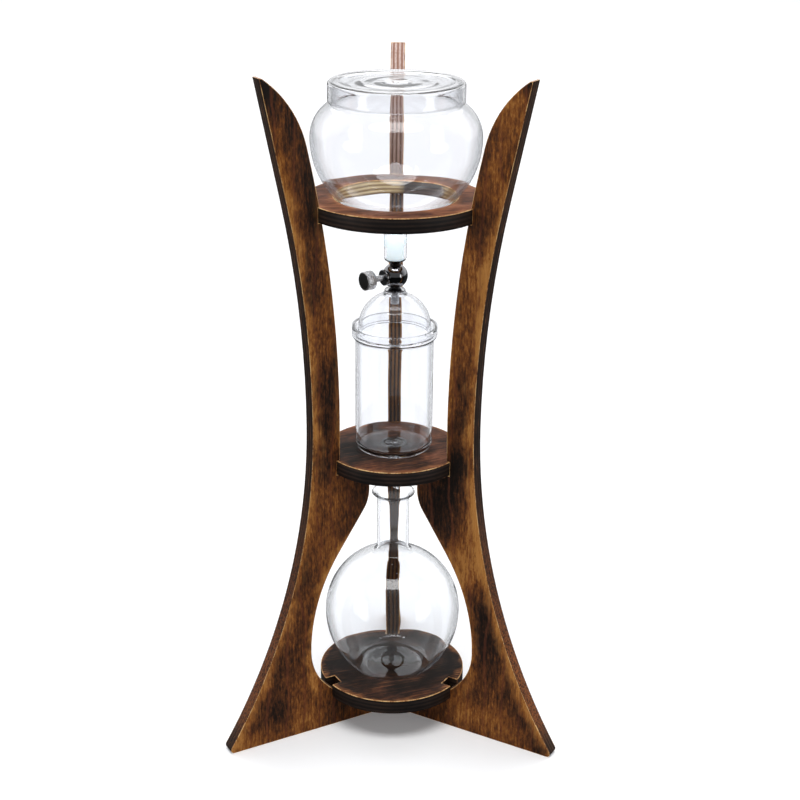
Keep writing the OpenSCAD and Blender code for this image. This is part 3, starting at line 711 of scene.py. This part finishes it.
def disc(node, turn, marks, offset, rims):
    """The ring or a disc. The wall of the ring's hole has a material of its own."""
    bm = merged_copy(node)
    arris = softened(bm, DISC_BEVEL)
    for face in bm.faces:
        inwards = face.normal.dot(Vector((*face.calc_center_median().xy, 0.0))) <= 0
        if face in arris:
            face.material_index = RUBBED_CORNER if face.normal.z > 0 else CHARRED_CORNER
        elif abs(face.normal.z) > 0.9:
            face.material_index = FACE
        else:
            face.material_index = INNER if inwards and node == "top_ring" else RIM
    face = disc_face(f"{node}_face", turn, marks, offset, rims)
    materials = [face, disc_edge(f"{node}_rim", False), RUBBED, CHARRED]
    if node == "top_ring":
        materials.append(disc_edge(f"{node}_hole", True))
    return placed(bm, f"{node}_wood", materials, "stand", [node], WOOD_SHARP)


# ---- Glassware ----
def blown(bm, swell_mm):
    """Gives the inside of a glass the slight waves of blown work."""
    bm.normal_update()
    for vert in bm.verts:
        inward = vert.normal.x * vert.co.x + vert.normal.y * vert.co.y < 0
        if inward:
            vert.co += vert.normal * noise.noise(vert.co * WAVES_PER_METRE) * swell_mm * MM


def glass_piece(name, profile, base_z, material, body, node, bevel, swell):
    """A glass spun from its closed profile."""
    bm = spun(even(without_repeats(profile)), base_z)
    softened(bm, bevel, GLASS_BEVEL_STEPS, GLASS_SHARP)
    blown(bm, swell)
    return placed(bm, name, [material], body, [node], NEVER_SHARP)


def globe_side(wall):
    """Half of the globe's profile, from the tube's foot up to the rim, at a distance of wall from the outside."""
    tube_mid = (TUBE_R + TUBE_FILLET, -math.sqrt((GLOBE_R + TUBE_FILLET) ** 2 - (TUBE_R + TUBE_FILLET) ** 2))
    tube_turn = heading((0, 0), tube_mid)
    shoulder_mid = (GLOBE_R - SHOULDER_R, 0.0)
    reach = MOUTH_R + MOUTH_FILLET
    mouth_mid = (reach, math.sqrt((SHOULDER_R + MOUTH_FILLET) ** 2 - (reach - shoulder_mid[0]) ** 2))
    mouth_turn = heading(shoulder_mid, mouth_mid)
    return [
        (TUBE_R - wall, TUBE_LOW),
        *arc(tube_mid, TUBE_FILLET + wall, 180, tube_turn + 180),
        *arc((0, 0), GLOBE_R - wall, tube_turn, 0, 2.5),
        *arc(shoulder_mid, SHOULDER_R - wall, 0, mouth_turn),
        *arc(mouth_mid, MOUTH_FILLET + wall, mouth_turn + 180, 180, 12),
        (MOUTH_R - wall, GLOBE_RIM),
    ]


def water_globe():
    profile = globe_side(0) + globe_side(GLOBE_WALL)[::-1]
    glass_piece("globe_glass", profile, GLOBE_Z, GLOBE_GLASS, "globe", "water_globe", WIDE_GLASS_BEVEL,
                SLIGHT_WAVES)


def globe_lid():
    """The pressed lid, with uneven rings in its panel and a twisted gather in the middle."""
    panel_z = LID_TOP - PANEL_DIP
    ball_r = (BUTTON_R**2 + BUTTON_H**2) / (2 * BUTTON_H)
    ball_mid = (0.0, panel_z + BUTTON_H - ball_r)
    skirt_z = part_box("globe_lid")[0].z / MM - GLOBE_Z
    corner = (LID_R - LID_ROUND, LID_TOP - LID_ROUND)
    bend_mid = (LID_R - LID_WALL - LID_BEND, GLOBE_RIM - LID_BEND)
    panel = [(PANEL_R - i, panel_z) for i in range(1, int(PANEL_R - BUTTON_R))]
    profile = [
        (LID_R - LID_WALL, skirt_z), (LID_R, skirt_z), *arc(corner, LID_ROUND, 0, 90, 10),
        (PANEL_R + PANEL_SLOPE, LID_TOP), (PANEL_R, panel_z), *panel,
        *arc(ball_mid, ball_r, heading(ball_mid, (BUTTON_R, panel_z)), 90, 3),
        (0.0, panel_z - LID_WALL), (PANEL_R, panel_z - LID_WALL), (PANEL_R + PANEL_SLOPE, GLOBE_RIM),
        *arc(bend_mid, LID_BEND, 90, 0, 30),
    ]
    bm = spun(even(without_repeats(profile)), GLOBE_Z)
    softened(bm, GLASS_BEVEL, GLASS_BEVEL_STEPS, GLASS_SHARP)
    blown(bm, SLIGHT_WAVES)
    for vert in bm.verts:
        distance = vert.co.xy.length / MM
        if distance < PANEL_R - 2 and vert.co.z > (GLOBE_Z + GLOBE_RIM - 0.9) * MM:
            uneven = noise.noise(Vector((vert.co.x, vert.co.y, 0.3)) * RING_WAVES_PER_METRE)
            drifted = distance + RING_DRIFT * uneven
            rise = sum(h * math.exp(-(((drifted - mid) / wide) ** 2)) for mid, wide, h in LID_RINGS)
            rise *= 0.7 + 1.4 * uneven
            near = max(0.0, 1 - distance / GATHER_R)
            vert.co.z += (rise + near * GATHER_H * noise.noise(vert.co * GATHER_WAVES_PER_METRE)) * MM
    placed(bm, "lid_glass", [LID_GLASS], "lid", ["globe_lid"], NEVER_SHARP)


def dome_cover():
    """The dome, its flange resting in the cup's lip and a bead round its drip hole."""
    inner = DOME_R - DOME_WALL
    foot = -DOME_SKIRT - DOME_FLANGE_T
    dome_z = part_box("dome_cover")[0].z / MM - foot
    flange_r = CUP_R + LIP_STEP - CUP_WALL - DOME_GAP
    bead_r = DOME_HOLE + DOME_WALL
    bead_foot = math.sqrt(DOME_R**2 - bead_r**2)
    bead_top = math.sqrt(DOME_R**2 - DOME_HOLE**2) + DOME_BEAD
    profile = [
        (inner, foot), (flange_r, foot), (flange_r, -DOME_SKIRT), (DOME_R, -DOME_SKIRT),
        *arc((0, 0), DOME_R, 0, heading((0, 0), (bead_r, bead_foot))),
        (bead_r, bead_top), (DOME_HOLE, bead_top),
        *arc((0, 0), inner, math.degrees(math.acos(DOME_HOLE / inner)), 0),
    ]
    glass_piece("dome_glass", profile, dome_z, CUP_GLASS, "dome", "dome_cover", GLASS_BEVEL, SLIGHT_WAVES)


def cup_side(wall):
    """The cup's side and stepped lip, at a distance of wall from the outside."""
    lip_r = CUP_R + LIP_STEP
    bend = math.degrees(math.acos(1 - LIP_STEP / (2 * LIP_BEND)))
    high = (lip_r - LIP_BEND, CUP_H - LIP_H)
    low = (CUP_R + LIP_BEND, high[1] - 2 * LIP_BEND * math.sin(math.radians(bend)))
    return [*arc(low, LIP_BEND + wall, 180, 180 - bend, 8), *arc(high, LIP_BEND - wall, -bend, 0, 8),
            (lip_r - wall, CUP_H)]


def coffee_cup():
    """The cup, its outlet tube cut on a slant at the tip."""
    tip_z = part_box("coffee_cup")[0].z / MM - MIDDLE_TOP
    corner = (CUP_R - CUP_ROUND, CUP_ROUND)
    floor_round = CUP_ROUND - CUP_WALL
    floor_mid = (corner[0], CUP_FLOOR + floor_round)
    profile = [
        (OUTLET_BORE, tip_z), (OUTLET_R, tip_z), (OUTLET_R, 0.0), *arc(corner, CUP_ROUND, -90, 0, 8),
        *cup_side(0), *cup_side(CUP_WALL)[::-1], *arc(floor_mid, floor_round, 0, -90, 8),
        (FILTER_R, CUP_FLOOR), (FILTER_R, CUP_FLOOR - FILTER_T), (OUTLET_BORE, CUP_FLOOR - FILTER_T),
    ]
    bm = spun(even(without_repeats(profile)), MIDDLE_TOP)
    slant = math.radians(OUTLET_SLANT)
    tip = Vector((OUTLET_R, 0.0, MIDDLE_TOP + tip_z)) * MM
    low_end = [f for f in bm.faces if f.calc_center_median().z < (MIDDLE_TOP - 10) * MM]
    geometry = low_end + list({e for f in low_end for e in f.edges}) + list({v for f in low_end for v in f.verts})
    bmesh.ops.bisect_plane(bm, geom=geometry, plane_co=tip, clear_outer=True,
                           plane_no=(-math.sin(slant), 0.0, -math.cos(slant)))
    bmesh.ops.bridge_loops(bm, edges=[e for e in bm.edges if e.is_boundary])
    bmesh.ops.recalc_face_normals(bm, faces=bm.faces)
    softened(bm, GLASS_BEVEL, GLASS_BEVEL_STEPS, GLASS_SHARP)
    blown(bm, SLIGHT_WAVES)
    placed(bm, "cup_glass", [CUP_GLASS], "cup", ["coffee_cup"], NEVER_SHARP)


def flask_side(wall):
    """Half of the flask's profile, from the floor up to the lip, at a distance of wall from the outside."""
    side_mid = (FLASK_R - SIDE_R, BELLY_H)
    base_mid = (side_mid[0] + math.sqrt((SIDE_R - BASE_ROUND) ** 2 - (BELLY_H - BASE_ROUND) ** 2), BASE_ROUND)
    base_turn = heading(side_mid, base_mid)
    reach = NECK_R + NECK_FILLET
    neck_mid = (reach, BELLY_H + math.sqrt((FLASK_R + NECK_FILLET) ** 2 - reach**2))
    neck_turn = heading((0, BELLY_H), neck_mid)
    lip_mid = (NECK_R + FLASK_LIP_BEND,
               FLASK_H - (FLASK_LIP_BEND + FLASK_WALL) * math.sin(math.radians(FLASK_LIP_TURN)))
    return [
        (0.0, wall),
        *arc(base_mid, BASE_ROUND - wall, -90, base_turn),
        *arc(side_mid, SIDE_R - wall, base_turn, 0, 2.5),
        *arc((0, BELLY_H), FLASK_R - wall, 0, neck_turn, 2.5),
        *arc(neck_mid, NECK_FILLET + wall, neck_turn + 180, 180),
        *arc(lip_mid, FLASK_LIP_BEND + wall, 180, 180 - FLASK_LIP_TURN, 6),
    ]


def flask():
    """The flask. Its floor is rippled, and thickest in the middle."""
    inner = flask_side(FLASK_WALL)[::-1]
    floor_r = inner[-2][0]
    ripples = []
    for i in range(1, int(floor_r / RIPPLE_STEP)):
        r = floor_r - RIPPLE_STEP * i
        share = 1 - r / floor_r
        ripples.append((r, FLASK_WALL + FLOOR_SWELL * share + RIPPLE_H * math.sin(r * RIPPLE_TURN) * share))
    profile = flask_side(0) + inner[:-1] + ripples + [(0.0, FLASK_WALL + FLOOR_SWELL)]
    glass_piece("flask_glass", profile, BOTTOM_TOP, FLASK_GLASS, "flask", "flask", WIDE_GLASS_BEVEL, FLASK_WAVES)


def filter_glass():
    bm = merged_copy("filter_disc")
    softened(bm, FILTER_BEVEL)
    placed(bm, "filter_glass", [CUP_GLASS], "cup", ["filter_disc"])


# ---- Valve ----
def hard_piece(node, name, material, body, width, segments=3):
    """A small turned piece with its corners broken."""
    bm = merged_copy(node)
    softened(bm, width, segments)
    return placed(bm, name, [material], body, [node], METAL_SHARP)


def spindle_thread():
    """Thread on the bare stretch of the spindle, spun as a helix of one tooth's outline."""
    gap, depth, per_turn = 0.3, 0.28, 28
    start = reach_along_spindle("valve_bonnet")[1] + gap
    end = reach_along_spindle("valve_knob")[0] - gap
    turns = int((end - start) / STEM_PITCH)
    crest = STEM_R + depth
    outline = [(0.0, STEM_R), (0.18, crest), (0.34, crest), (0.52, STEM_R), (STEM_PITCH, STEM_R)]
    bm = bmesh.new()
    verts = [bm.verts.new((r * MM, 0.0, (start + x) * MM)) for x, r in outline]
    edges = [bm.edges.new(pair) for pair in zip(verts, verts[1:])]
    bmesh.ops.spin(bm, geom=verts + edges, cent=(0, 0, 0), axis=(0, 0, 1), angle=math.tau * turns,
                   steps=per_turn * turns, dvec=(0, 0, STEM_PITCH * MM / per_turn))
    bmesh.ops.remove_doubles(bm, verts=bm.verts, dist=2 * TINY)
    bmesh.ops.recalc_face_normals(bm, faces=bm.faces)
    lying = Matrix.Rotation(math.radians(90), 4, "Y")
    turned = Matrix.Rotation(math.radians(SPINDLE_TURN), 4, "Z") @ lying
    bmesh.ops.transform(bm, matrix=Matrix.Translation((0, 0, VALVE_Z * MM)) @ turned, verts=bm.verts)
    return placed(bm, "spindle_thread", [STEEL], "knob", [], THREAD_SHARP)


def along_spindle():
    """The way from the ball's centre out to the knob."""
    turn = math.radians(SPINDLE_TURN)
    return Vector((math.cos(turn), math.sin(turn), 0.0))


def reach_along_spindle(node):
    """The nearest and farthest distance of a CAD node along the spindle, in millimetres."""
    reaches = [v.co.dot(along_spindle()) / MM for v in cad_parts[node].data.vertices]
    return min(reaches), max(reaches)


RUBBED = rubbed_arris()
CHARRED = charred_arris()
FLASK_GLASS = clear_glass("flask_glass", (0.976, 0.986, 1.0, 1.0), 9.0, 0.45)
CUP_GLASS = clear_glass("cup_glass", (0.955, 0.963, 0.984, 1.0), 6.0, 0.65)
GLOBE_GLASS = clear_glass("globe_glass", (0.967, 0.971, 0.988, 1.0), 10.0, 0.55)
LID_GLASS = clear_glass("lid_glass", (0.952, 0.955, 0.965, 1.0), 14.0, 0.25)
CHROME = polished_metal("dark_chrome", (0.27, 0.27, 0.28, 1.0), 0.03)
STEEL = turned_steel("turned_steel", SPINDLE_TURN)
# Pale silicone with a painted glow, for the stopper and the needle
SILICONE = pale_silicone_painted_glow()
SEAL = black_rubber("seal_rubber", 24)
CAP = black_rubber("cap_face", 26)

for leg in BOARD_TURNS:
    board(leg)
ring_marks = [(52, -20, 44, 30, 0.25), (-50, 22, 44, 34, 0.2), (10, 52, 50, 24, 0.15)]
disc("top_ring", 12, ring_marks, 0.45, (RING_R, RING_HOLE_R))
disc("middle_disc", 24, [(-30, 4, 56, 50, 0.6), (4, -10, 36, 36, 0.25)], 0.58, (MIDDLE_R,))
disc("bottom_disc", 20, [(-10, 6, 80, 56, 0.55), (30, -30, 50, 30, 0.2)], 0.84, (BOTTOM_R,))

water_globe()
globe_lid()
dome_cover()
coffee_cup()
filter_glass()
flask()

hard_piece("outlet_stopper", "stopper_silicone", SILICONE, "globe", 0.5)
hard_piece("valve_body", "valve_ball", CHROME, "globe", 0.3)
hard_piece("inlet_washer", "inlet_seal", SEAL, "globe", 0.15)
hard_piece("inlet_collar", "collar", CHROME, "globe", 0.2)
hard_piece("nozzle_washer", "nozzle_seal", SEAL, "globe", 0.15)
hard_piece("drip_nozzle", "nozzle", CHROME, "globe", 0.2)
hard_piece("valve_bonnet", "bonnet", CHROME, "globe", 0.2)
hard_piece("stem_seal", "spindle_seal", SEAL, "globe", 0.1)
hard_piece("needle_tip", "needle", SILICONE, "needle", 0.15)
hard_piece("valve_stem", "spindle", STEEL, "knob", 0.2)
hard_piece("valve_knob", "knob", STEEL, "knob", 0.08, 1)
hard_piece("knob_cap", "knob_face", CAP, "knob", 0.2)
hard_piece("knob_screw", "grub_screw", STEEL, "knob", 0.08, 1)
spindle_thread()


# ---- Studio, in metres ----
FLOOR_R = 14.0
FLAG_EDGE = (-0.75, -0.35)
FLOOR_GLOW = 0.11
LAMP_AIM = (0, 0, 0.3)


def floor():
    """Pale paper, with a dark flag lying on it in front of the picture. Only the glass gets to see the flag."""
    bm = bmesh.new()
    bmesh.ops.create_circle(bm, cap_ends=True, radius=FLOOR_R, segments=96)
    made = meshed(bm, "floor")
    paper, tree = new_material("pale_paper")
    place = object_place(tree)
    tooth = cloudy(tree, place, (400, 400, 400), 2)
    colour = ramp(tree, tooth, [(0.3, (0.93, 0.935, 0.945, 1.0)), (0.7, (0.95, 0.955, 0.965, 1.0))])
    split = add(tree, "ShaderNodeSeparateXYZ", Vector=place)
    behind = spread(tree, split.outputs["Y"], *FLAG_EDGE)
    seen = maths(tree, "MAXIMUM", behind, add(tree, "ShaderNodeLightPath").outputs["Is Camera Ray"])
    colour = mixed(tree, seen, (0.26, 0.26, 0.265, 1.0), colour)
    # Light from under the paper lifts the shadow between the boards
    finished(paper, colour, 0.9, Specular_IOR_Level=0.1, Emission_Color=(0.96, 0.98, 1.0, 1.0),
             Emission_Strength=FLOOR_GLOW)
    made.data.materials.append(paper)
    # Glass and chrome mirror the dark room instead of the paper, as under a flag in front of the table
    made.visible_glossy = False


def soft_light(name, place, aim, width, height, power, shape):
    """A softbox at place, turned towards aim."""
    lamp = bpy.data.lights.new(name, "AREA")
    lamp.shape = shape
    lamp.size = width
    lamp.size_y = height
    lamp.energy = power
    made = linked(name, lamp)
    made.location = place
    made.rotation_mode = "QUATERNION"
    made.rotation_quaternion = (Vector(aim) - Vector(place)).to_track_quat("-Z", "Y")


def studio():
    """The floor, four softboxes, and a room that is bright behind the tower, dim behind the camera and dark
    below the table."""
    floor()
    soft_light("left_softbox", (-1.55, -0.95, 0.55), LAMP_AIM, 0.9, 0.9, 4.8, "ELLIPSE")
    soft_light("right_softbox", (1.55, -0.95, 0.55), LAMP_AIM, 0.9, 0.9, 4.8, "ELLIPSE")
    soft_light("top_softbox", (0.0, -0.61, 1.98), LAMP_AIM, 1.7, 0.9, 24, "ELLIPSE")
    soft_light("far_softbox", (0.0, 3.4, 2.7), (0, 3.4, 0), 5.0, 3.4, 64, "RECTANGLE")
    world = bpy.data.worlds.new("studio")
    world.use_nodes = True
    tree = world.node_tree
    tree.nodes.clear()
    way = add(tree, "ShaderNodeTexCoord").outputs["Generated"]
    split = add(tree, "ShaderNodeSeparateXYZ", Vector=way)
    towards_back = spread(tree, split.outputs["Y"], -0.25, 0.45, 0.18, 1.12)
    shade = times(tree, towards_back, spread(tree, split.outputs["Z"], -0.08, 0.0, 0.05, 1.0))
    shade = maths(tree, "MAXIMUM", shade, add(tree, "ShaderNodeLightPath").outputs["Is Camera Ray"])
    background = add(tree, "ShaderNodeBackground", Color=(0.985, 0.99, 1.0, 1.0), Strength=shade)
    output = add(tree, "ShaderNodeOutputWorld")
    tree.links.new(background.outputs[0], output.inputs["Surface"])
    bpy.context.scene.world = world
    bpy.context.scene.view_settings.view_transform = "Standard"


# The photograph's viewpoint: place in millimetres, angles in degrees
CAMERA_PLACE = (8.96, -1152.9, 719.2)
CAMERA_PITCH = 21.19
CAMERA_YAW = -0.216
CAMERA_ROLL = 0.560
FOCAL_PIXELS = 1590.3
FRAME_PIXELS = 800
SENSOR = 36.0


def camera():
    """The camera at the photograph's viewpoint."""
    data = bpy.data.cameras.new("camera")
    data.sensor_width = SENSOR
    data.lens = FOCAL_PIXELS * SENSOR / FRAME_PIXELS
    made = linked("camera", data)
    yaw, pitch, roll = (math.radians(a) for a in (CAMERA_YAW, CAMERA_PITCH, CAMERA_ROLL))
    forward = Vector((math.sin(yaw) * math.cos(pitch), math.cos(yaw) * math.cos(pitch), -math.sin(pitch)))
    right = Vector((math.cos(yaw), -math.sin(yaw), 0.0))
    up = right.cross(forward)
    rolled_right = right * math.cos(roll) + up * math.sin(roll)
    rolled_up = up * math.cos(roll) - right * math.sin(roll)
    made.matrix_world = Matrix((
        (rolled_right.x, rolled_up.x, -forward.x, CAMERA_PLACE[0] * MM),
        (rolled_right.y, rolled_up.y, -forward.y, CAMERA_PLACE[1] * MM),
        (rolled_right.z, rolled_up.z, -forward.z, CAMERA_PLACE[2] * MM),
        (0.0, 0.0, 0.0, 1.0),
    ))
    bpy.context.scene.camera = made


studio()
camera()
